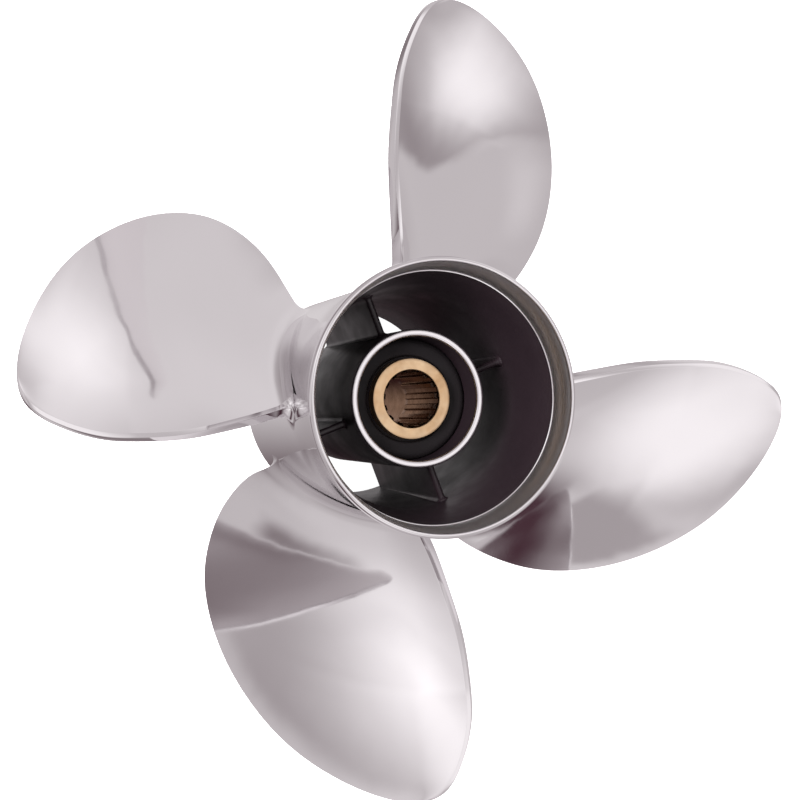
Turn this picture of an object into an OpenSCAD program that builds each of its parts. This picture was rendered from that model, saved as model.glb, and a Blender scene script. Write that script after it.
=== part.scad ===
// Four-blade through-hub-exhaust outboard propeller, right-hand rotation.
// The shaft axis is Z and +Z points aft. The forward end ring of the barrel
// stands on Z = 0. Blades are numbered 1 to 4, with their tips near
// 0, 90, 180 and 270 degrees about Z.

/* [Propeller] */
// Diameter of the circle swept by the blade tips
diameter = 332; // [300:2:360]
// Distance that the blade face advances in one turn, in percent of the design pitch
pitch_percent = 100; // [85:1:110]
// Backward lean of the blades, millimetres aft per millimetre of radius
rake = 0.43; // [0.2:0.01:0.5]
// Height of the curl along the trailing edge
cup = 2; // [0:0.5:3]

/* [Blades] */
// Greatest blade thickness at the root
blade_root_t = 8; // [5:0.5:9]
// Greatest blade thickness at the tip
blade_tip_t = 4.5; // [3:0.5:5]
// Thickness of the blunt trailing edge at the root
edge_root_t = 5.5; // [3:0.5:7]
// Thickness of the blunt trailing edge at the tip
edge_tip_t = 3.6; // [2:0.2:4.4]
// Radius of the fillet between blade and barrel
root_fillet = 8; // [5:1:10]

/* [Barrel] */
// Length of the barrel, forward ring to aft rim
barrel_l = 147; // [144:1:152]
// Outer radius of the barrel ahead of the flare
barrel_r = 52; // [51.5:0.5:53]
// Outer radius of the flared aft rim
rim_r = 57; // [56:0.5:60]
// Inner radius of the barrel at its forward ring
barrel_in_fwd = 46; // [45:0.5:47]
// Inner radius of the barrel where the ribs end
barrel_in_mid = 48; // [47:0.5:48.5]

/* [Inner hub] */
// Outer radius of the tube that holds the bushing
hub_r = 29.8; // [29:0.2:31]
// Bore radius of that tube
hub_bore_r = 26.8; // [26:0.2:27]
// Height of the forward end of the tube
hub_z0 = 3; // [0:1:10]
// Height of the machined aft lip of the tube
hub_z1 = 111.3; // [105:0.1:115]

/* [Ribs] */
// Thickness of each rib
rib_t = 3; // [2.5:0.5:6]
// Height of the forward edge of the ribs
rib_z0 = 8; // [5:1:20]
// Height of the rounded aft edge of the ribs
rib_z1 = 94; // [85:1:98]
// Angle of the first rib about the axis
rib_angle = 25.5; // [20:0.5:40]

/* [Drive hub] */
// Outer radius of the brass sleeve
sleeve_r = 17.6; // [17:0.1:19]
// Height of the forward (thrust) face of the sleeve
sleeve_z0 = 18; // [12:1:24]
// Height of the aft face of the sleeve
sleeve_z1 = 102; // [100:1:104]
// Number of spline teeth
spline_n = 15; // [13:1:17]
// Radius at the crests of the spline teeth
spline_minor_r = 11.2; // [10.8:0.1:11.6]
// Radius at the roots of the spline teeth
spline_major_r = 12.4; // [12:0.1:12.4]
// Length of the splined stretch, from the aft face
spline_l = 44; // [30:1:50]
// Radius of the smooth bore ahead of the spline
plain_bore_r = 12.5; // [12.5:0.1:13]
// Height of the forward end of the rubber
rubber_z0 = 28; // [25:1:35]
// Height of the aft end of the rubber
rubber_z1 = 97; // [92:1:98]
// Radial running clearance between the rubber and the hub bore
rubber_gap = 0.05; // [0.03:0.01:0.1]

/* [Hidden] */

steel = [0.80, 0.79, 0.80];
bright = [0.90, 0.89, 0.90];
black = [0.14, 0.13, 0.14];
rubber_col = [0.08, 0.08, 0.08];
brass_col = [0.84, 0.68, 0.45];

R = diameter / 2;

// Blade form. Each row: fraction of the tip radius, angle of the middle of
// the blade, width factor, design pitch. The half width in degrees is the
// width factor times sqrt(1 - fraction), which closes the tip in an ellipse.
FORM = [
    [0.30, -17.8, 34.0, 385],
    [0.35, -19.4, 39.2, 438],
    [0.40, -19.5, 42.0, 474],
    [0.50, -18.3, 45.3, 477],
    [0.60, -16.3, 47.7, 472],
    [0.70, -13.9, 49.1, 470],
    [0.80, -10.4, 49.1, 464],
    [0.90,  -6.3, 47.6, 460],
    [0.95,  -3.6, 46.6, 454],
    [1.00,   0.3, 43.0, 430]];

// Smooth curve through one column of the table (cubic Hermite, with the
// slope at each row taken from its neighbours).
function slope(c, i) =
    let (a = max(i - 1, 0), b = min(i + 1, len(FORM) - 1))
    (FORM[b][c] - FORM[a][c]) / (FORM[b][0] - FORM[a][0]);
function row(x, i = 0) =
    (i >= len(FORM) - 2 || x < FORM[i + 1][0]) ? i : row(x, i + 1);
function form(c, x) =
    let (i = row(x), h = FORM[i + 1][0] - FORM[i][0], t = (x - FORM[i][0]) / h,
         p = FORM[i][c], q = FORM[i + 1][c], m = slope(c, i) * h, n = slope(c, i + 1) * h)
    p * (1 + 2 * t) * (1 - t) * (1 - t) + m * t * (1 - t) * (1 - t)
    + q * t * t * (3 - 2 * t) - n * t * t * (1 - t);

function mid_angle(r) = form(1, r / R);
function half_angle(r) = form(2, r / R) * sqrt(max(0, 1 - r / R));
function pitch(r) = form(3, r / R) * pitch_percent / 100;
function z_line(r) = barrel_l - 17 - rake * (R - r);

// Thickness across the blade, s = 0 at the leading edge, 1 at the trailing
// edge. The leading edge is thin and round, the trailing edge is blunt.
function tip_round(r) = r < R - 3 ? 1 : sqrt(max(0.02, 1 - pow((r - R + 3) / 3, 2)));
function span(r, a, b) = a + (b - a) * (r - barrel_r) / (R - barrel_r);
function t_max(r) = span(r, blade_root_t, blade_tip_t) * tip_round(r);
function t_edge(r) = span(r, edge_root_t, edge_tip_t) * tip_round(r);
function thick(r, s) =
    let (m = t_max(r), e = t_edge(r), q = 0.5)
    s <= 0 ? 0
    : s < q ? m * (0.30 * pow(s / q, 0.4) + 0.70 * pow(sin(90 * s / q), 1.2))
    : e + (m - e) * pow(cos(90 * (s - q) / (1 - q)), 2);
// The curl and the lift of the edge die away with the width of the tip.
function fade(r) = min(1, half_angle(r) / 25);
function cup_curve(s) = s < 0.8 ? 0 : pow((s - 0.8) / 0.2, 2);

// Section of the blade on the cylinder of radius r, unrolled flat: [arc, z].
s_list = [0, 0.006, 0.02, 0.05, 0.1, 0.17, 0.25, 0.35, 0.45, 0.55, 0.65, 0.75, 0.82, 0.88, 0.93, 0.97, 1];
NS = len(s_list);
function edge_pt(r, side) =
    let (a = mid_angle(r) + side * half_angle(r))
    [r * a * PI / 180, z_line(r) + pitch(r) * a / 360];
function unit(v) = v / max(norm(v), 0.000001);
function aft_dir(r) = let (c = unit(edge_pt(r, 1) - edge_pt(r, -1))) [-c[1], c[0]];
function face_pt(r, s) =
    let (p = edge_pt(r, -1), q = edge_pt(r, 1))
    p + (q - p) * s + [0, cup * fade(r) * (cup_curve(s) - s)]
    + aft_dir(r) * span(r, edge_root_t, edge_tip_t) * fade(r) * s;
function back_pt(r, s) = face_pt(r, s) - aft_dir(r) * thick(r, s);
// Closed loop: along the forward side to the trailing edge, back along the
// aft side. The leading edge is one point.
function loop0(r) = concat(
    [for (s = s_list) back_pt(r, s)],
    [for (k = [NS - 1:-1:1]) face_pt(r, s_list[k])]);
NP = 2 * NS - 1;
// Outward offset of the loop by d, which makes the root fillet.
function loop(r, d) =
    let (l = loop0(r))
    d < 0.001 ? l
    : [for (k = [0:NP - 1])
        let (a = unit(l[k] - l[(k + NP - 1) % NP]), b = unit(l[(k + 1) % NP] - l[k]),
             n = unit([a[1] + b[1], -a[0] - b[0]]))
        l[k] + n * d];
function fillet(r) =
    let (h = r - barrel_r)
    h >= root_fillet ? 0 : h <= 0 ? root_fillet
    : root_fillet - sqrt(pow(root_fillet, 2) - pow(root_fillet - h, 2));

r_root = [barrel_r - 1.4, barrel_r, barrel_r + 0.3, barrel_r + 1, barrel_r + 2, barrel_r + 3.5, barrel_r + 5.5];
r_in = barrel_r + root_fillet;
r_last = R - 0.05;
n_out = 17;
r_list = concat(r_root, [for (k = [0:n_out]) r_last - (r_last - r_in) * pow(1 - k / n_out, 2)]);
NR = len(r_list);

function wrap(r, p) = let (a = p[0] / r * 180 / PI) [r * cos(a), r * sin(a), p[1]];
blade_pts = [for (r = r_list) for (p = loop(r, fillet(r))) wrap(r, p)];
blade_faces = concat(
    [for (i = [0:NR - 2]) for (k = [0:NP - 1])
        [i * NP + k, i * NP + (k + 1) % NP, (i + 1) * NP + (k + 1) % NP]],
    [for (i = [0:NR - 2]) for (k = [0:NP - 1])
        [i * NP + k, (i + 1) * NP + (k + 1) % NP, (i + 1) * NP + k]],
    // end caps, as strips across the section from the leading edge
    [for (e = [0, 1]) for (k = [1:NS - 1])
        let (o = e * (NR - 1) * NP, f = [o + k, o + k - 1, o + (NP - k + 1) % NP])
        e == 0 ? f : [f[2], f[1], f[0]]],
    [for (e = [0, 1]) for (k = [1:NS - 1])
        let (o = e * (NR - 1) * NP, f = [o + k, o + (NP - k + 1) % NP, o + NP - k])
        if (NP - k != (NP - k + 1) % NP && k != NP - k) e == 0 ? f : [f[2], f[1], f[0]]]);

module blade(k) {
    color(steel) rotate([0, 0, 90 * (k - 1)])
        polyhedron(points = blade_pts, faces = blade_faces, convexity = 6);
}

// Outer form of the barrel: a straight tube that flares towards the rim.
z_flare = barrel_l - 60;
function ease(t) = t * t * (1.6 - 0.6 * t);
module outer_barrel() {
    z1 = barrel_l;
    outer = [for (k = [0:14]) let (t = k / 14) [barrel_r + (rim_r - barrel_r) * ease(t), z_flare + (z1 - 2.6 - z_flare) * t]];
    lip_out = [for (a = [15:15:90]) [rim_r - 1.5 + 1.5 * cos(a), z1 - 2.2 + 2.2 * sin(a)]];
    lip_in = [for (a = [105:15:165]) [rim_r - 1.5 + 0.65 * cos(a), z1 - 0.7 + 0.7 * sin(a)]];
    // bare bell mouth inside the lip, then a small step to the painted wall
    land = [for (t = [1:-0.2:0]) [rim_r - 4.4 + 2.2 * pow(t, 2.5), z1 - 13.4 + 12.4 * t]];
    bell = [for (k = [0:8]) let (t = k / 8) [barrel_in_mid + (rim_r - 4.8 - barrel_in_mid) * pow(1 - t, 1.6), z1 - 15 + (rib_z1 + 2 - z1 + 15) * t]];
    color(steel) rotate_extrude($fn = 180)
        polygon(concat([[barrel_in_fwd + 0.8, 0], [barrel_r - 1, 0], [barrel_r, 1]],
                       outer, lip_out, lip_in, land, bell, [[barrel_in_fwd, 0.8]]));
}

// Tube that holds the rubber bushing. Its aft lip is machined bright.
module inner_hub() {
    color(black) rotate_extrude($fn = 128)
        polygon([[hub_bore_r, hub_z0 + 1], [hub_bore_r + 1, hub_z0], [hub_r - 1, hub_z0],
                 [hub_r, hub_z0 + 1], [hub_r, hub_z1 - 1], [hub_r - 0.3, hub_z1 - 0.3], [hub_r - 1, hub_z1],
                 [hub_bore_r + 0.9, hub_z1], [hub_bore_r + 0.2, hub_z1 - 0.3], [hub_bore_r, hub_z1 - 1]]);
}

// Straight radial web with a rounded aft edge, sunk into both tubes.
module rib(k) {
    color(black) rotate([0, 0, rib_angle + 90 * (k - 1)])
        translate([hub_r - 1, 0, 0]) rotate([90, 0, 90])
            linear_extrude(height = barrel_in_mid + 1 - hub_r + 1) union() {
                translate([-rib_t / 2, rib_z0]) square([rib_t, rib_z1 - rib_t / 2 - rib_z0]);
                translate([0, rib_z1 - rib_t / 2]) circle(d = rib_t, $fn = 32);
            }
}

// Rubber torsion bushing with rounded shoulders.
module rubber_bushing() {
    ro = hub_bore_r - rubber_gap;
    color(rubber_col) rotate_extrude($fn = 128)
        polygon(concat(
            [[sleeve_r - 0.05, rubber_z0], [ro - 3, rubber_z0]],
            [for (a = [-60:30:0]) [ro - 3 + 3 * cos(a), rubber_z0 + 3 + 3 * sin(a)]],
            [for (a = [0:30:60]) [ro - 3 + 3 * cos(a), rubber_z1 - 3 + 3 * sin(a)]],
            [[ro - 3, rubber_z1], [sleeve_r + 2.4, rubber_z1], [sleeve_r + 1.2, rubber_z1 - 1.5],
             [sleeve_r - 0.05, rubber_z1 - 1.5]]));
}

// Brass sleeve: splined aft half, plain forward half.
module spline_slot() {
    // straight-sided groove, wider at its mouth
    a = 360 / spline_n;
    w0 = spline_minor_r * sin(a * 0.33);
    w1 = spline_major_r * sin(a * 0.22);
    translate([0, 0, sleeve_z1 - spline_l - 1]) linear_extrude(height = spline_l + 2)
        polygon([[spline_minor_r - 1.2, -w0 * 1.12], [spline_minor_r, -w0], [spline_major_r, -w1],
                 [spline_major_r, w1], [spline_minor_r, w0], [spline_minor_r - 1.2, w0 * 1.12]]);
}
module spline_sleeve() {
    color(brass_col) difference() {
        rotate_extrude($fn = 128)
            polygon([[spline_minor_r, sleeve_z0], [sleeve_r - 1, sleeve_z0], [sleeve_r, sleeve_z0 + 1],
                     [sleeve_r, sleeve_z1 - 0.7], [sleeve_r - 0.7, sleeve_z1], [spline_minor_r, sleeve_z1]]);
        // plain bore with a chamfered mouth
        translate([0, 0, sleeve_z0 - 1])
            cylinder(r = plain_bore_r, h = sleeve_z1 - spline_l - sleeve_z0 + 1, $fn = 96);
        translate([0, 0, sleeve_z0 - 0.01])
            cylinder(r1 = plain_bore_r + 1, r2 = plain_bore_r, h = 1, $fn = 96);
        // lead-in chamfer at the aft mouth
        translate([0, 0, sleeve_z1 - 1.6])
            cylinder(r1 = spline_minor_r - 0.2, r2 = spline_minor_r + 1.9, h = 1.61, $fn = 96);
        for (k = [0:spline_n - 1]) rotate([0, 0, k * 360 / spline_n]) spline_slot();
    }
}

outer_barrel();
inner_hub();
rib(1);  // rib_1
rib(2);  // rib_2
rib(3);  // rib_3
rib(4);  // rib_4
blade(1);  // blade_1
blade(2);  // blade_2
blade(3);  // blade_3
blade(4);  // blade_4
rubber_bushing();
spline_sleeve();
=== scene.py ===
# Looks of the four-blade outboard propeller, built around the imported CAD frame.
import math
import bpy
import numpy as np
from mathutils import Matrix, Vector


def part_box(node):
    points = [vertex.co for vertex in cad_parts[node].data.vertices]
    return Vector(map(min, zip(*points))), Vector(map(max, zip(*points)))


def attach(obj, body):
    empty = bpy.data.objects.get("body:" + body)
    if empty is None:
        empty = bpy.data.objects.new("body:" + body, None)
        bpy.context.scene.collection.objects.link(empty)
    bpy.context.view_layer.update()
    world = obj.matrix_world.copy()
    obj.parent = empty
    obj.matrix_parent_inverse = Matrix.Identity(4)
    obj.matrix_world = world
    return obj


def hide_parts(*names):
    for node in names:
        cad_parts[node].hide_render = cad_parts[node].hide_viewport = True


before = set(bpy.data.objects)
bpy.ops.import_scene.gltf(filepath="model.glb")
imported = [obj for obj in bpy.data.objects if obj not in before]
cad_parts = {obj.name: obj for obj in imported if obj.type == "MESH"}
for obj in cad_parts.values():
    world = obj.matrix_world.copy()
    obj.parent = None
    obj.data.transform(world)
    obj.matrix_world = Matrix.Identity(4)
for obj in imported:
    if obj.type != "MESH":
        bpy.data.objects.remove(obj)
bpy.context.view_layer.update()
MM = 0.001


# ---------------------------------------------------------------- dimensions
def size_of(node):
    lo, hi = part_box(node)
    return [c / MM for c in lo], [c / MM for c in hi]


_lo, _hi = size_of("outer_barrel")
BARREL_L = _hi[2]                      # aft rim height
RIM_R = _hi[0]
BARREL_R = 52.0
_bl, _bh = size_of("blade_1")
R = round(max(_bh[0], 166.0), 1)
IN_FWD, IN_MID = 46.0, 48.0
_hl, _hh = size_of("inner_hub")
HUB_R, HUB_Z0, HUB_Z1 = _hh[0], _hl[2], _hh[2]
HUB_BORE = 26.8
_rl, _rh = size_of("rib_1")
RIB_T, RIB_Z0, RIB_Z1, RIB_A = 3.0, _rl[2], _rh[2], 25.5
_sl, _sh = size_of("spline_sleeve")
SLV_R, SLV_Z0, SLV_Z1 = _sh[0], _sl[2], _sh[2]
_ul, _uh = size_of("rubber_bushing")
RUB_R, RUB_Z0, RUB_Z1 = _uh[0], _ul[2], _uh[2]

# ---------------------------------------------------------------- mesh help


def add_mesh(name, verts, faces, mats, face_mat=None, smooth=True, sharp_deg=None):
    me = bpy.data.meshes.new(name)
    me.from_pydata([tuple(v) for v in (np.asarray(verts) * MM)], [], [tuple(int(i) for i in f) for f in faces])
    me.update()
    for m in mats:
        me.materials.append(m)
    if face_mat is not None:
        me.polygons.foreach_set("material_index", np.asarray(face_mat, np.int32))
    me.polygons.foreach_set("use_smooth", [smooth] * len(me.polygons))
    ob = bpy.data.objects.new(name, me)
    bpy.context.scene.collection.objects.link(ob)
    if sharp_deg:
        me.set_sharp_from_angle(angle=math.radians(sharp_deg))
    me.update()
    return ob


def lathe(name, profile, n, mats, seg_mat=None, sharp_deg=None):
    """Closed profile of (r, z) turned about Z."""
    p = np.asarray(profile, float)
    m = len(p)
    ang = np.linspace(0, 2 * math.pi, n, endpoint=False)
    verts = np.empty((n * m, 3))
    for i, a in enumerate(ang):
        verts[i * m:(i + 1) * m, 0] = p[:, 0] * math.cos(a)
        verts[i * m:(i + 1) * m, 1] = p[:, 0] * math.sin(a)
        verts[i * m:(i + 1) * m, 2] = p[:, 1]
    faces, fm = [], []
    for i in range(n):
        j = (i + 1) % n
        for k in range(m):
            l = (k + 1) % m
            faces.append((i * m + k, j * m + k, j * m + l, i * m + l))
            fm.append(0 if seg_mat is None else seg_mat[k])
    return add_mesh(name, verts, faces, mats, fm, True, sharp_deg)


def arc(cx, cy, r, a0, a1, n, rx=None):
    rx = r if rx is None else rx
    return [(cx + rx * math.cos(math.radians(a)), cy + r * math.sin(math.radians(a)))
            for a in np.linspace(a0, a1, n)]


# ---------------------------------------------------------------- blade form
FORM = np.array([
    [0.30, -17.8, 34.0, 385],
    [0.35, -19.4, 39.2, 438],
    [0.40, -19.5, 42.0, 474],
    [0.50, -18.3, 45.3, 477],
    [0.60, -16.3, 47.7, 472],
    [0.70, -13.9, 49.1, 470],
    [0.80, -10.4, 49.1, 464],
    [0.90,  -6.3, 47.6, 460],
    [0.95,  -3.6, 46.6, 454],
    [1.00,   0.3, 43.0, 430]])
_X = FORM[:, 0]
_SL = np.empty_like(FORM)
for _i in range(len(FORM)):
    _a, _b = max(_i - 1, 0), min(_i + 1, len(FORM) - 1)
    _SL[_i] = (FORM[_b] - FORM[_a]) / (_X[_b] - _X[_a])


def form(c, x):
    i = int(np.clip(np.searchsorted(_X, x, side="right") - 1, 0, len(_X) - 2))
    h = _X[i + 1] - _X[i]
    t = (x - _X[i]) / h
    p, q, m, n = FORM[i, c], FORM[i + 1, c], _SL[i, c] * h, _SL[i + 1, c] * h
    return p * (1 + 2 * t) * (1 - t) ** 2 + m * t * (1 - t) ** 2 + q * t * t * (3 - 2 * t) - n * t * t * (1 - t)


RAKE, CUP, FIL = 0.43, 2.0, 8.0
T_ROOT, T_TIP, E_ROOT, E_TIP = 8.0, 4.5, 5.5, 3.6


def mid_angle(r): return form(1, r / R)
def half_angle(r): return form(2, r / R) * math.sqrt(max(0.0, 1 - r / R))
def pitch(r): return form(3, r / R)
def z_line(r): return BARREL_L - 17 - RAKE * (R - r)
def tip_round(r): return 1.0 if r < R - 3 else math.sqrt(max(0.0, 1 - ((r - R + 3) / 3) ** 2))
def span(r, a, b): return a + (b - a) * (r - BARREL_R) / (R - BARREL_R)
def t_max(r): return span(r, T_ROOT, T_TIP) * tip_round(r)
def t_edge(r): return span(r, E_ROOT, E_TIP) * tip_round(r)


def fade(r): return min(1.0, half_angle(r) / 25)


def thick(r, s):
    m, e, q = t_max(r), t_edge(r), 0.5
    s = np.asarray(s, float)
    front = m * (0.30 * (np.clip(s, 0, None) / q) ** 0.4 + 0.70 * np.sin(np.clip(s / q, 0, 1) * math.pi / 2) ** 1.2)
    back = e + (m - e) * np.cos(np.clip((s - q) / (1 - q), 0, 1) * math.pi / 2) ** 2
    return np.where(s <= 0, 0.0, np.where(s < q, front, back))


def cup_curve(s):
    return np.where(s < 0.8, 0.0, ((s - 0.8) / 0.2) ** 2)


def edge_pt(r, side):
    a = mid_angle(r) + side * half_angle(r)
    return np.array([math.radians(a) * r, z_line(r) + pitch(r) * a / 360])


def barrel_out(z):
    """Outer radius of the barrel at height z."""
    z_f = BARREL_L - 60
    t = np.clip((z - z_f) / (BARREL_L - 2.6 - z_f), 0, 1)
    return BARREL_R + (RIM_R - BARREL_R) * t * t * (1.6 - 0.6 * t)


# s values: dense at both edges
_u = np.linspace(0, 1, 61)
S_LIST = (_u ** 1.8) * (1 - _u) + (1 - (1 - _u) ** 1.8) * _u
S_LIST = S_LIST / S_LIST[-1]
S_LIST[0] = 0.0
N_TE = 5       # points that round each corner of the blunt edge


def round_corner(p, a, b, rad, n):
    """Points that round the corner p between the unit directions a (arriving) and b (leaving)."""
    k = rad * (1 - float(np.dot(a, b)))
    p0, p1 = p - a * k, p + b * k
    out = []
    for t in np.linspace(0, 1, n):
        out.append((1 - t) ** 2 * p0 + 2 * t * (1 - t) * p + t * t * p1)
    return out


def section(r):
    """Closed loop of (arc, z) on the cylinder of radius r: forward side to the trailing edge, then back along the aft side."""
    p, q = edge_pt(r, -1), edge_pt(r, 1)
    ch = q - p
    L = max(np.linalg.norm(ch), 1e-6)
    c = ch / L
    n = np.array([-c[1], c[0]])
    s = S_LIST[:, None]
    face = p + ch * s + np.array([0, 1.0]) * (CUP * fade(r) * (cup_curve(s) - s)) + n * span(r, E_ROOT, E_TIP) * fade(r) * s
    th = thick(r, S_LIST)[:, None]
    back = face - n * th
    te = t_edge(r)
    bw, bh = min(1.7, 0.25 * L), min(0.9, 0.3 * te)          # bevel on the aft side of the edge
    cut = bw * 1.25
    keep = [i for i in range(len(S_LIST)) if (1 - S_LIST[i]) * L > cut]
    td = back[-1] - back[-2]
    td = td / max(np.linalg.norm(td), 1e-9)
    fd = face[-1] - face[-2]
    fd = fd / max(np.linalg.norm(fd), 1e-9)
    up = face[-1] - back[-1]
    up = up / max(np.linalg.norm(up), 1e-9)
    B = back[-1]
    F1 = face[-1] - up * bh                                   # bevel meets the blunt edge
    F2 = face[-1] - fd * bw                                   # bevel meets the aft face
    bev = F2 - F1
    bev = bev / max(np.linalg.norm(bev), 1e-9)
    rc = min(0.5, 0.2 * te, 0.15 * L)
    tail = round_corner(B, td, up, rc, N_TE) + round_corner(F1, up, bev, rc * 0.7, N_TE) + round_corner(F2, bev, -fd, rc * 0.7, N_TE)
    need = 2 * len(S_LIST) - 1 + 3 * N_TE
    nb = len(S_LIST) - len(keep)
    last_b, last_f = back[keep[-1]], face[keep[-1]]
    loop = ([back[i] for i in keep] + [last_b + (tail[0] - last_b) * (k + 1) / (nb + 1) for k in range(nb)] + tail
            + [tail[-1] + (last_f - tail[-1]) * (k + 1) / (nb + 1) for k in range(nb)]
            + [face[i] for i in keep[::-1] if i > 0])
    loop = np.array(loop)
    assert len(loop) == need, (len(loop), need)
    return loop


def offset(loop, d):
    prev, nxt = np.roll(loop, 1, 0), np.roll(loop, -1, 0)
    a = loop - prev
    b = nxt - loop
    a /= np.maximum(np.linalg.norm(a, axis=1, keepdims=True), 1e-9)
    b /= np.maximum(np.linalg.norm(b, axis=1, keepdims=True), 1e-9)
    n = a + b
    n = np.stack([n[:, 1], -n[:, 0]], 1)
    n /= np.maximum(np.linalg.norm(n, axis=1, keepdims=True), 1e-9)
    return loop + n * d[:, None]


def fillet(h):
    h = np.clip(h, 0, FIL)
    return FIL - np.sqrt(np.maximum(FIL ** 2 - (FIL - h) ** 2, 0))


def blade_mesh(name, k, mats):
    r_in = BARREL_R + FIL + 1
    g = np.linspace(0, 1, 19)
    root = [BARREL_R - 1.4] + list(BARREL_R + (FIL + 1) * g ** 1.7)
    n_out = 80
    last = R - 0.02
    rs = root[:-1] + [last - (last - r_in) * (1 - i / n_out) ** 2 for i in range(n_out + 1)]
    rings = []
    for r in rs:
        lp = section(r)
        h = r - barrel_out(lp[:, 1])
        lp = offset(lp, fillet(h))
        rings.append(np.stack([r * np.cos(lp[:, 0] / r), r * np.sin(lp[:, 0] / r), lp[:, 1]], 1))
    m = len(rings[0])
    verts = np.concatenate(rings)
    faces = []
    for i in range(len(rings) - 1):
        for j in range(m):
            l = (j + 1) % m
            faces.append((i * m + j, i * m + l, (i + 1) * m + l, (i + 1) * m + j))
    # material 1 (the brightened back steel, painted light) on the back side, material 0 elsewhere
    fm = [1 if (i % m) < len(S_LIST) - 2 else 0 for i in range(len(faces))]
    # end caps as strips across the section, so that they follow the curve
    o = (len(rings) - 1) * m
    for j in range(m // 2):
        q = [j, j + 1, m - j - 1, (m - j) % m]
        q = q[:3] if j == 0 else q
        if q[1] == q[2]:
            q = [q[0], q[1], q[3]]
        faces.append(tuple(q[::-1]))
        faces.append(tuple(o + i for i in q))
        fm += [0, 0]
    a = math.radians(90 * (k - 1))
    rot = np.array([[math.cos(a), -math.sin(a), 0], [math.sin(a), math.cos(a), 0], [0, 0, 1]])
    return add_mesh(name, verts @ rot.T, faces, mats, fm, True, 50)


# ---------------------------------------------------------------- materials
def new_mat(name):
    m = bpy.data.materials.new(name)
    m.use_nodes = True
    nt = m.node_tree
    nt.nodes.clear()
    out = nt.nodes.new("ShaderNodeOutputMaterial")
    b = nt.nodes.new("ShaderNodeBsdfPrincipled")
    nt.links.new(b.outputs[0], out.inputs[0])
    return m, nt, b


def node(nt, kind, **kw):
    n = nt.nodes.new(kind)
    for k, v in kw.items():
        if k in n.inputs:
            n.inputs[k].default_value = v
        else:
            setattr(n, k, v)
    return n


def noise(nt, vec, scale, detail=3.0, rough=0.5):
    n = node(nt, "ShaderNodeTexNoise", Scale=scale, Detail=detail, Roughness=rough)
    nt.links.new(vec, n.inputs["Vector"])
    return n.outputs["Fac"]


def coords(nt, scale=(1, 1, 1)):
    tc = nt.nodes.new("ShaderNodeTexCoord")
    mp = nt.nodes.new("ShaderNodeMapping")
    mp.inputs["Scale"].default_value = scale
    nt.links.new(tc.outputs["Object"], mp.inputs["Vector"])
    return mp.outputs["Vector"]


def remap(nt, val, a, b, lo=0.0, hi=1.0):
    n = node(nt, "ShaderNodeMapRange")
    n.inputs["From Min"].default_value = lo
    n.inputs["From Max"].default_value = hi
    n.inputs["To Min"].default_value = a
    n.inputs["To Max"].default_value = b
    nt.links.new(val, n.inputs["Value"])
    return n.outputs["Result"]


def bump(nt, height, strength, distance, normal=None):
    n = node(nt, "ShaderNodeBump", Strength=strength, Distance=distance)
    nt.links.new(height, n.inputs["Height"])
    if normal is not None:
        nt.links.new(normal, n.inputs["Normal"])
    return n.outputs["Normal"]


def mix_rgb(nt, fac, a, b):
    n = nt.nodes.new("ShaderNodeMix")
    n.data_type = "RGBA"
    n.inputs["A"].default_value = (*a, 1)
    n.inputs["B"].default_value = (*b, 1)
    nt.links.new(fac, n.inputs["Factor"])
    return n.outputs["Result"]


def steel(name, col=(0.80, 0.782, 0.795), r0=0.03, r1=0.08, wave=0.12):
    m, nt, b = new_mat(name)
    b.inputs["Metallic"].default_value = 1.0
    v = coords(nt)
    nt.links.new(mix_rgb(nt, noise(nt, v, 14, 3), tuple(c * 0.96 for c in col), tuple(min(1, c * 1.03) for c in col)), b.inputs["Base Color"])
    nt.links.new(remap(nt, noise(nt, v, 55, 5, 0.65), r0, r1, 0.3, 0.7), b.inputs["Roughness"])
    # hand-polished waviness, then fine polishing marks
    n1 = bump(nt, noise(nt, v, 32, 2), 1.0, wave * MM)
    vs = coords(nt, (1, 1, 6))
    n2 = bump(nt, noise(nt, vs, 900, 4, 0.7), 0.25, 0.004 * MM, n1)
    nt.links.new(n2, b.inputs["Normal"])
    return m


def machined(name, col=(0.93, 0.91, 0.925), r0=0.20, r1=0.34):
    """Turned metal: rings about the axis."""
    m, nt, b = new_mat(name)
    b.inputs["Metallic"].default_value = 1.0
    b.inputs["Base Color"].default_value = (*col, 1)
    tc = nt.nodes.new("ShaderNodeTexCoord")
    sep = nt.nodes.new("ShaderNodeSeparateXYZ")
    nt.links.new(tc.outputs["Object"], sep.inputs[0])
    cmb = nt.nodes.new("ShaderNodeCombineXYZ")
    nt.links.new(sep.outputs["X"], cmb.inputs["X"])
    nt.links.new(sep.outputs["Y"], cmb.inputs["Y"])
    ln = nt.nodes.new("ShaderNodeVectorMath"); ln.operation = "LENGTH"
    nt.links.new(cmb.outputs[0], ln.inputs[0])
    c2 = nt.nodes.new("ShaderNodeCombineXYZ")
    nt.links.new(ln.outputs["Value"], c2.inputs["X"])
    nt.links.new(sep.outputs["Z"], c2.inputs["Y"])
    rings = noise(nt, c2.outputs[0], 2600, 3, 0.6)
    nt.links.new(remap(nt, rings, r0, r1, 0.3, 0.7), b.inputs["Roughness"])
    nt.links.new(bump(nt, rings, 0.4, 0.004 * MM), b.inputs["Normal"])
    return m


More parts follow.
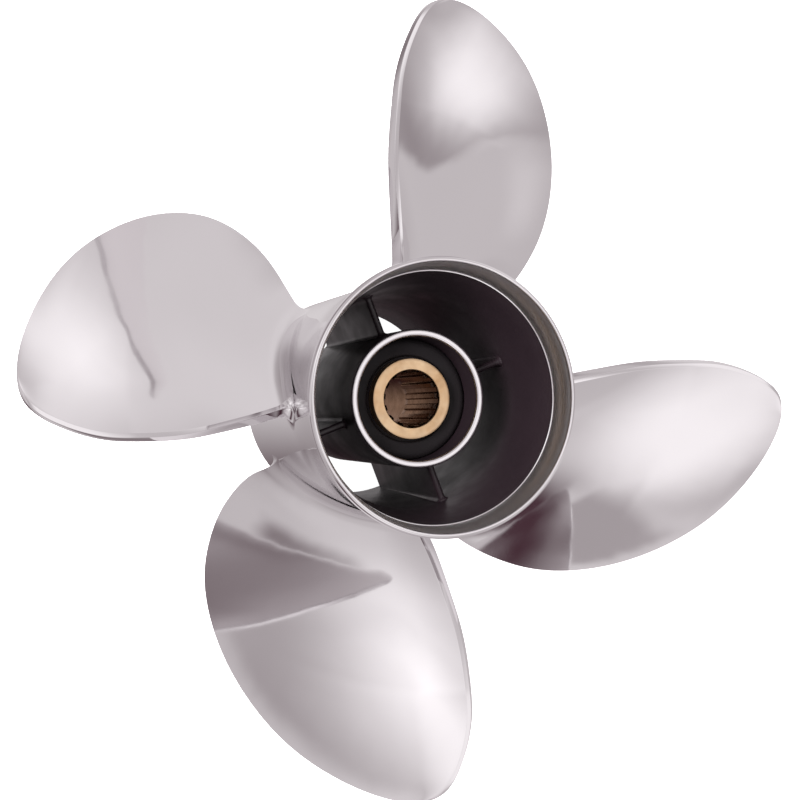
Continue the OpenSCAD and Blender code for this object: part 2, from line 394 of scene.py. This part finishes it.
def paint(name, col=(0.017, 0.011, 0.014)):
    m, nt, b = new_mat(name)
    v = coords(nt)
    nt.links.new(mix_rgb(nt, noise(nt, v, 30, 5, 0.6), tuple(c * 0.75 for c in col), tuple(c * 1.5 for c in col)), b.inputs["Base Color"])
    nt.links.new(remap(nt, noise(nt, v, 70, 4, 0.6), 0.34, 0.50, 0.3, 0.7), b.inputs["Roughness"])
    b.inputs["Specular IOR Level"].default_value = 0.45
    b.inputs["Coat Weight"].default_value = 0.08
    b.inputs["Coat Roughness"].default_value = 0.3
    nt.links.new(bump(nt, noise(nt, v, 650, 3, 0.6), 0.35, 0.03 * MM), b.inputs["Normal"])
    return m


def rubber_mat(name):
    m, nt, b = new_mat(name)
    v = coords(nt)
    nt.links.new(mix_rgb(nt, noise(nt, v, 60, 5, 0.6), (0.006, 0.005, 0.006), (0.018, 0.015, 0.016)), b.inputs["Base Color"])
    nt.links.new(remap(nt, noise(nt, v, 120, 4), 0.45, 0.7, 0.3, 0.7), b.inputs["Roughness"])
    b.inputs["Specular IOR Level"].default_value = 0.16
    nt.links.new(bump(nt, noise(nt, v, 900, 4, 0.7), 0.4, 0.04 * MM), b.inputs["Normal"])
    return m


def brass_mat(name, dark=(0.66, 0.42, 0.22), light=(0.82, 0.62, 0.40), r0=0.28, r1=0.46, grit=0.3, blotch=95):
    m, nt, b = new_mat(name)
    b.inputs["Metallic"].default_value = 1.0
    v = coords(nt)
    nt.links.new(mix_rgb(nt, remap(nt, noise(nt, v, blotch, 5, 0.65), 0.0, 1.0, 0.3, 0.7), dark, light), b.inputs["Base Color"])
    nt.links.new(remap(nt, noise(nt, v, 260, 4, 0.6), r0, r1, 0.3, 0.7), b.inputs["Roughness"])
    nt.links.new(bump(nt, noise(nt, v, 1500, 4, 0.7), grit, 0.02 * MM), b.inputs["Normal"])
    return m


M_BLADE = steel("polished_blade")
# the back side: the same polished steel, a little rougher, with a base colour brighter than the blade's; the extra
# brightness is painted light that lifts the reflections of the back seen in the other blades
M_BACK_PAINTED_LIGHT = steel("polished_blade_back_painted_light", (0.94, 0.92, 0.93), 0.05, 0.11)
M_BARREL = steel("polished_barrel")
M_LIP = machined("machined_lip")
M_LAND = machined("brushed_land", (0.86, 0.845, 0.85), 0.30, 0.44)
M_BLACK = paint("black_paint")
M_RUBBER = rubber_mat("rubber")
M_BRASS = brass_mat("brass")
# the bore: the same brass with a far darker base colour, painted shade inside the bore
M_BORE_SHADED = brass_mat("brass_bore_painted_shade", (0.12, 0.078, 0.055), (0.25, 0.17, 0.125), 0.16, 0.3, 0.05, 200)

# a brown specular tint that dims the bore's grazing reflections, more of the painted shade
M_BORE_SHADED.node_tree.nodes["Principled BSDF"].inputs["Specular Tint"].default_value = (0.74, 0.60, 0.52, 1)

# ---------------------------------------------------------------- pieces
for k in range(1, 5):
    o = blade_mesh("blade_%d_form" % k, k, [M_BLADE, M_BACK_PAINTED_LIGHT])
    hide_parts("blade_%d" % k)
    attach(o, "wheel")

# barrel
zt = BARREL_L
prof, mat = [], []


def add(pts, m):
    for p in pts:
        prof.append(p)
        mat.append(m)


add([(IN_FWD + 0.8, 0), (BARREL_R - 1, 0)], 1)
add(arc(BARREL_R - 1, 1, 1, -80, 0, 5), 0)
add([(barrel_out(z), z) for z in np.linspace(3, zt - 62, 20)], 0)
add([(float(barrel_out(z)), z) for z in np.linspace(zt - 60, zt - 2.6, 60)], 0)
add(arc(RIM_R - 1.5, zt - 2.2, 2.2, 6, 90, 12, 1.5), 0)
add(arc(RIM_R - 1.5, zt - 0.7, 0.7, 96, 165, 7, 0.65), 1)
add([(RIM_R - 4.4 + 2.2 * t ** 2.5, zt - 13.4 + 12.4 * t) for t in np.linspace(1, 0.04, 24)], 3)
add([(RIM_R - 4.42, zt - 13.3), (RIM_R - 4.6, zt - 13.45)], 1)
add([(RIM_R - 4.78, zt - 13.6), (RIM_R - 4.8, zt - 14.2)], 2)
for t in np.linspace(0, 1, 30):
    add([(IN_MID + (RIM_R - 4.8 - IN_MID) * (1 - t) ** 1.6, zt - 15 + (RIB_Z1 + 2 - zt + 15) * t)], 2)
add([(IN_MID + (IN_FWD - IN_MID) * t, (RIB_Z1 + 2) * (1 - t) + 0.8 * t) for t in np.linspace(0.05, 1, 12)], 2)
barrel = lathe("outer_barrel_form", prof, 288, [M_BARREL, M_LIP, M_BLACK, M_LAND], mat, 40)
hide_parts("outer_barrel"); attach(barrel, "wheel")

# inner hub
prof, mat = [], []
add([(HUB_BORE, HUB_Z0 + 1), (HUB_BORE + 0.3, HUB_Z0 + 0.3), (HUB_BORE + 1, HUB_Z0)], 1)
add([(HUB_R - 1, HUB_Z0), (HUB_R - 0.3, HUB_Z0 + 0.3), (HUB_R, HUB_Z0 + 1)], 0)
add([(HUB_R, z) for z in np.linspace(HUB_Z0 + 4, HUB_Z1 - 1.2, 24)], 0)
add(arc(HUB_R - 1.4, HUB_Z1 - 1.1, 1.1, 0, 90, 10, 1.4), 1)
add(arc(HUB_BORE + 1.4, HUB_Z1 - 1.1, 1.1, 90, 175, 10, 1.4), 1)
add([(HUB_BORE, z) for z in (HUB_Z1 - 2.2, HUB_Z1 - 8)], 0)
add([(HUB_BORE, z) for z in np.linspace(HUB_Z1 - 16, HUB_Z0 + 4, 10)], 0)
hub = lathe("inner_hub_form", prof, 240, [M_BLACK, M_LIP], mat, 40)
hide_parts("inner_hub"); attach(hub, "wheel")


# ribs: flared where they meet the two tubes
def rib_mesh(name, k):
    rs = [HUB_R - 1, HUB_R, HUB_R + 0.3, HUB_R + 0.9, HUB_R + 1.8, HUB_R + 3, HUB_R + 6, 40, IN_MID - 6, IN_MID - 3, IN_MID - 1.8, IN_MID - 0.9, IN_MID - 0.3, IN_MID + 1]
    F = 1.4

    def fl(h):
        h = min(max(h, 0), F)
        return F - math.sqrt(max(F * F - (F - h) ** 2, 0))
    rings = []
    for r in rs:
        d = fl(r - HUB_R) + fl(IN_MID - 0.4 - r)
        w = RIB_T / 2 + min(d, 1.2)
        dz = min(d, 1.2)
        top = RIB_Z1 - RIB_T / 2
        z0 = RIB_Z0 - 3
        pts = [(-w, z0 - dz * 0.5)] + [(w, z0 - dz * 0.5)] + [(w, z) for z in np.linspace(RIB_Z0 + 8, top - 2, 8)]
        pts += arc(0, top, RIB_T / 2 + dz, 0, 180, 17, w)
        pts += [(-w, z) for z in np.linspace(top - 2, RIB_Z0 + 8, 8)]
        rings.append(np.array([(r, p[0], p[1]) for p in pts]))
    m = len(rings[0])
    verts = np.concatenate(rings)
    faces = []
    for i in range(len(rings) - 1):
        for j in range(m):
            l = (j + 1) % m
            faces.append((i * m + j, i * m + l, (i + 1) * m + l, (i + 1) * m + j))
    faces.append(tuple(range(m - 1, -1, -1)))
    o = (len(rings) - 1) * m
    faces.append(tuple(range(o, o + m)))
    a = math.radians(RIB_A + 90 * (k - 1))
    rot = np.array([[math.cos(a), -math.sin(a), 0], [math.sin(a), math.cos(a), 0], [0, 0, 1]])
    return add_mesh(name, verts @ rot.T, faces, [M_BLACK], None, True, 60)


for k in range(1, 5):
    o = rib_mesh("rib_%d_form" % k, k)
    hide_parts("rib_%d" % k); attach(o, "wheel")

# rubber bushing
prof, mat = [], []
add([(SLV_R - 0.05, RUB_Z0), (RUB_R - 3, RUB_Z0)], 0)
add(arc(RUB_R - 3, RUB_Z0 + 3, 3, -80, 0, 8), 0)
add([(RUB_R, z) for z in np.linspace(RUB_Z0 + 8, RUB_Z1 - 8, 8)], 0)
add(arc(RUB_R - 3, RUB_Z1 - 3, 3, 0, 90, 10), 0)
add([(RUB_R - 4, RUB_Z1), (SLV_R + 3.0, RUB_Z1)], 0)
add(arc(SLV_R + 2.2, RUB_Z1 - 0.8, 0.8, 90, 170, 5), 0)
add([(SLV_R + 0.9, RUB_Z1 - 1.6), (SLV_R - 0.05, RUB_Z1 - 1.7)], 0)
rub = lathe("rubber_bushing_form", prof, 200, [M_RUBBER], mat, 40)
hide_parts("rubber_bushing"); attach(rub, "drive_hub")

# brass sleeve with its spline
N_SP, MINOR, MAJOR, SP_L, PLAIN = 15, 11.2, 12.4, 44.0, 12.5


def spline_r(a):
    """Inner radius at angle a (degrees), tooth flanks slightly rounded."""
    p = 360 / N_SP
    x = abs(((a + p / 2) % p) - p / 2) / p      # 0 in the middle of a groove, 0.5 on a crest
    t = min(max((x - 0.20) / 0.10, 0), 1)
    t = t * t * (3 - 2 * t)
    return MAJOR + (MINOR - MAJOR) * t


def sleeve_mesh():
    n = N_SP * 32
    ang = np.linspace(0, 360, n, endpoint=False)
    sr = np.array([spline_r(a) for a in ang])
    one = np.ones(n)
    z0, z1 = SLV_Z0, SLV_Z1
    zs = z1 - SP_L
    rows = []                               # (radius per angle, z)
    rows += [(one * (PLAIN + 1), z0), (one * (SLV_R - 1), z0), (one * (SLV_R - 0.3), z0 + 0.3), (one * SLV_R, z0 + 1)]
    rows += [(one * SLV_R, z) for z in np.linspace(z0 + 5, z1 - 4, 8)]
    rows += [(one * SLV_R, z1 - 0.7), (one * (SLV_R - 0.2), z1 - 0.2), (one * (SLV_R - 0.7), z1)]
    rows += [(one * r, z1) for r in (16.2, 15.4, 14.6, 13.8, 13.1)]
    for d, rr in ((0.0, 12.9), (0.15, 12.7), (0.5, 12.5), (1.0, 12.42), (1.4, 12.3), (1.8, 11.95), (2.2, 11.55), (2.5, 11.25), (3.5, 11.2)):
        rows.append((np.maximum(sr, rr), z1 - d))
    rows += [(sr, z) for z in np.linspace(z1 - 8, zs + 0.6, 12)]
    rows += [(np.maximum(sr, 11.6), zs + 0.3), (one * PLAIN, zs)]
    rows += [(one * PLAIN, z) for z in np.linspace(zs - 6, z0 + 1, 6)]
    m = len(rows)
    verts = np.empty((n * m, 3))
    ca, sa = np.cos(np.radians(ang)), np.sin(np.radians(ang))
    for k, (r, z) in enumerate(rows):
        verts[k::m, 0], verts[k::m, 1], verts[k::m, 2] = r * ca, r * sa, z
    faces, fm_ = [], []
    first = next(k for k, row in enumerate(rows) if row[1] < z1 - 0.3 and k > 12)
    for i in range(n):
        j = (i + 1) % n
        for k in range(m):
            l = (k + 1) % m
            faces.append((i * m + k, j * m + k, j * m + l, i * m + l))
            # material 1 (the darkened brass, painted shade) on the spline and the bore
            fm_.append(1 if k >= first and k < m - 1 else 0)
    return add_mesh("spline_sleeve_form", verts, faces, [M_BRASS, M_BORE_SHADED], fm_, True, 35)


slv = sleeve_mesh()
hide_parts("spline_sleeve"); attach(slv, "drive_hub")

# ---------------------------------------------------------------- stage
sc = bpy.context.scene
sc.view_settings.view_transform = "Standard"

fm, fnt, fb = new_mat("floor")
fb.inputs["Base Color"].default_value = (0.92, 0.92, 0.92, 1)
fb.inputs["Roughness"].default_value = 0.9
fb.inputs["Emission Color"].default_value = (1, 1, 1, 1)
fb.inputs["Emission Strength"].default_value = 1.0
fv = 6000.0
floor = add_mesh("floor", [(-fv, -fv, 0), (fv, -fv, 0), (fv, fv, 0), (-fv, fv, 0)], [(0, 1, 2, 3)], [fm])
floor.visible_glossy = False
floor.visible_diffuse = False

# a white sweep all round, far behind the floor
prof = [(5900, 0), (5900, 6000), (0.5, 6001), (0.5, 6003), (5903, 6003), (5903, 0)]
sweep = lathe("sweep", prof, 48, [fm])
for flag in ("visible_glossy", "visible_diffuse", "visible_shadow", "visible_transmission", "visible_volume_scatter"):
    setattr(sweep, flag, False)

# the studio: a dim room, brighter towards one side, with soft boxes and dark
# flags placed round the object
# name, azimuth, elevation, half width, half height, softness across, softness up, brightness, tilt
STUDIO = [
    ("bounce_right",   59, -45, 70, 27, 36, 40, 0.73, -57),
    ("bounce_front",  -56,  32, 50, 57, 45, 35, 0.59,  -4),
    ("dark_floor",    -18,  -4, 59, 22, 25, 39, 0.56, -81),
    ("wall_left",    -160, -22, 21, 48, 52, 28, 0.57,  58),
    ("wall_back",     152,  39, 17, 27,  5, 54, 0.03, -68),
    ("low_wall",      162,   8, 69, 13,  8, 13, 0.61,  -2),
    ("flag_back",     129,   8, 19,  3, 10,  5, 0.25,  10),
    ("box_front",     -93,  28, 20, 17, 16, 30, 1.13, -62),
    ("box_right",     -17,   1, 17, 15, 27,  9, 1.41, -59),
    ("box_back",       51,  18, 10,  6, 43, 12, 1.27, -35),
    ("box_left",      157,  35, 20, 20, 46, 53, 1.36, -64),
    ("flag_right",     -6,  -6, 11, 16, 29, 24, 0.18,  51),
    ("flag_front",    -77, -47, 12, 43, 23, 32, 0.65,  93),
    ("window_rim",   -143,  43, 19, 22, 10,  3, 0.71,  13),
    ("window",       -131,  33,  9,  9,  6,  2, 0.42,  26),
    ("flag_edge",     -19,   8, 35,  2, 12, 10, 0.40, -46),
    ("table_edge",    -17,  -9, 31, 10, 23,  2, 0.62, -42),
    ("flag_top",      -50,  29, 10,  3, 10, 10, 0.52,  62),
    ("fill_back",      67, -17, 11, 30, 16, 22, 0.77,  32),
    ("grey_front",    -96,   9, 19, 10, 36, 24, 0.65,   6),
    ("ceiling",         0,  80, 24, 24, 24, 24, 1.05,   0),
]

w = bpy.data.worlds.new("studio")
sc.world = w
w.use_nodes = True
wt = w.node_tree
bg = wt.nodes["Background"]


def unit(az, el):
    az, el = math.radians(az), math.radians(el)
    return Vector((math.cos(el) * math.cos(az), math.cos(el) * math.sin(az), math.sin(el)))


def wmath(op, a, b=None):
    n = wt.nodes.new("ShaderNodeMath")
    n.operation = op
    for i, v in enumerate((a, b)):
        if v is None:
            continue
        if isinstance(v, (int, float)):
            n.inputs[i].default_value = v
        else:
            wt.links.new(v, n.inputs[i])
    return n.outputs[0]


def wdot(vec, v):
    n = wt.nodes.new("ShaderNodeVectorMath")
    n.operation = "DOT_PRODUCT"
    wt.links.new(vec, n.inputs[0])
    n.inputs[1].default_value = tuple(v)
    return n.outputs["Value"]


def wstep(val, half, soft):
    """1 inside half degrees, falling to 0 over soft degrees."""
    n = wt.nodes.new("ShaderNodeMapRange")
    n.interpolation_type = "SMOOTHSTEP"
    n.inputs["From Min"].default_value = math.radians(half - soft / 2)
    n.inputs["From Max"].default_value = math.radians(half + soft / 2)
    n.inputs["To Min"].default_value = 1.0
    n.inputs["To Max"].default_value = 0.0
    wt.links.new(val, n.inputs["Value"])
    return n.outputs["Result"]


wdir = wt.nodes.new("ShaderNodeTexCoord").outputs["Generated"]
level = wmath("ADD", wmath("MULTIPLY", wdot(wdir, unit(64, 33)), 0.415), 0.22)
for nm, az, el, hx, hy, sx, sy, val, tilt in STUDIO:
    c = unit(az, el)
    x0 = Vector((-math.sin(math.radians(az)), math.cos(math.radians(az)), 0))
    y0 = c.cross(x0)
    t = math.radians(tilt)
    x1, y1 = x0 * math.cos(t) + y0 * math.sin(t), y0 * math.cos(t) - x0 * math.sin(t)
    ax = wmath("ARCTAN2", wmath("ABSOLUTE", wdot(wdir, x1)), wdot(wdir, c))
    ay = wmath("ARCSINE", wmath("ABSOLUTE", wdot(wdir, y1)))
    f = wmath("MULTIPLY", wstep(ax, hx, sx), wstep(ay, hy, sy))
    mx = wt.nodes.new("ShaderNodeMix")
    mx.data_type = "FLOAT"
    wt.links.new(f, mx.inputs["Factor"])
    wt.links.new(level, mx.inputs["A"])
    mx.inputs["B"].default_value = val
    level = mx.outputs["Result"]
level = wmath("MAXIMUM", level, 0.05)
col = wt.nodes.new("ShaderNodeCombineColor")
wt.links.new(wmath("ADD", level, 0.028), col.inputs[0])
wt.links.new(wmath("MAXIMUM", wmath("SUBTRACT", level, 0.012), 0.0), col.inputs[1])
wt.links.new(level, col.inputs[2])
wt.links.new(col.outputs[0], bg.inputs[0])
bg.inputs[1].default_value = 1.0


def area(name, loc, target, sx, sy, power, col=(1, 1, 1)):
    l = bpy.data.lights.new(name, "AREA")
    l.shape = "RECTANGLE"
    l.size, l.size_y, l.energy, l.color = sx, sy, power, col
    o = bpy.data.objects.new(name, l)
    sc.collection.objects.link(o)
    o.location = loc
    d = Vector(target) - Vector(loc)
    o.rotation_mode = "QUATERNION"
    o.rotation_quaternion = d.to_track_quat("-Z", "Y")
    return o


top = area("top_softbox", (0.25, 0.15, 1.6), (0, 0, 0.08), 0.9, 0.9, 3)
top.visible_glossy = False
side = area("left_softbox", (-0.95, 0.12, 1.0), (0.03, 0, 0.12), 0.5, 0.5, 30)
side.visible_glossy = False

# camera at the viewing angle of the picture
ROLL = math.radians(4.49)
cr, sr_ = math.cos(ROLL), math.sin(ROLL)


def turn(v):
    return Vector((cr * v[0] - sr_ * v[1], sr_ * v[0] + cr * v[1], v[2]))


cam_data = bpy.data.cameras.new("camera")
cam = bpy.data.objects.new("camera", cam_data)
sc.collection.objects.link(cam)
fwd = Vector((0.30822, 0.01118, -0.95125)).normalized()
right = Vector((0.95132, -0.00362, 0.30820))
right = (right - fwd * right.dot(fwd)).normalized()
up = right.cross(fwd)
pos = Vector((-181.21, -6.93, 497.47))
fwd, up, right, pos = turn(fwd), turn(up), turn(right), turn(pos) + Vector((0, 0, BARREL_L))
cam.matrix_world = Matrix((
    (right.x, up.x, -fwd.x, pos.x * MM),
    (right.y, up.y, -fwd.y, pos.y * MM),
    (right.z, up.z, -fwd.z, pos.z * MM),
    (0, 0, 0, 1)))
cam_data.sensor_width = 36.0
cam_data.lens = 59.345
cam_data.clip_start, cam_data.clip_end = 0.01, 50
sc.camera = cam
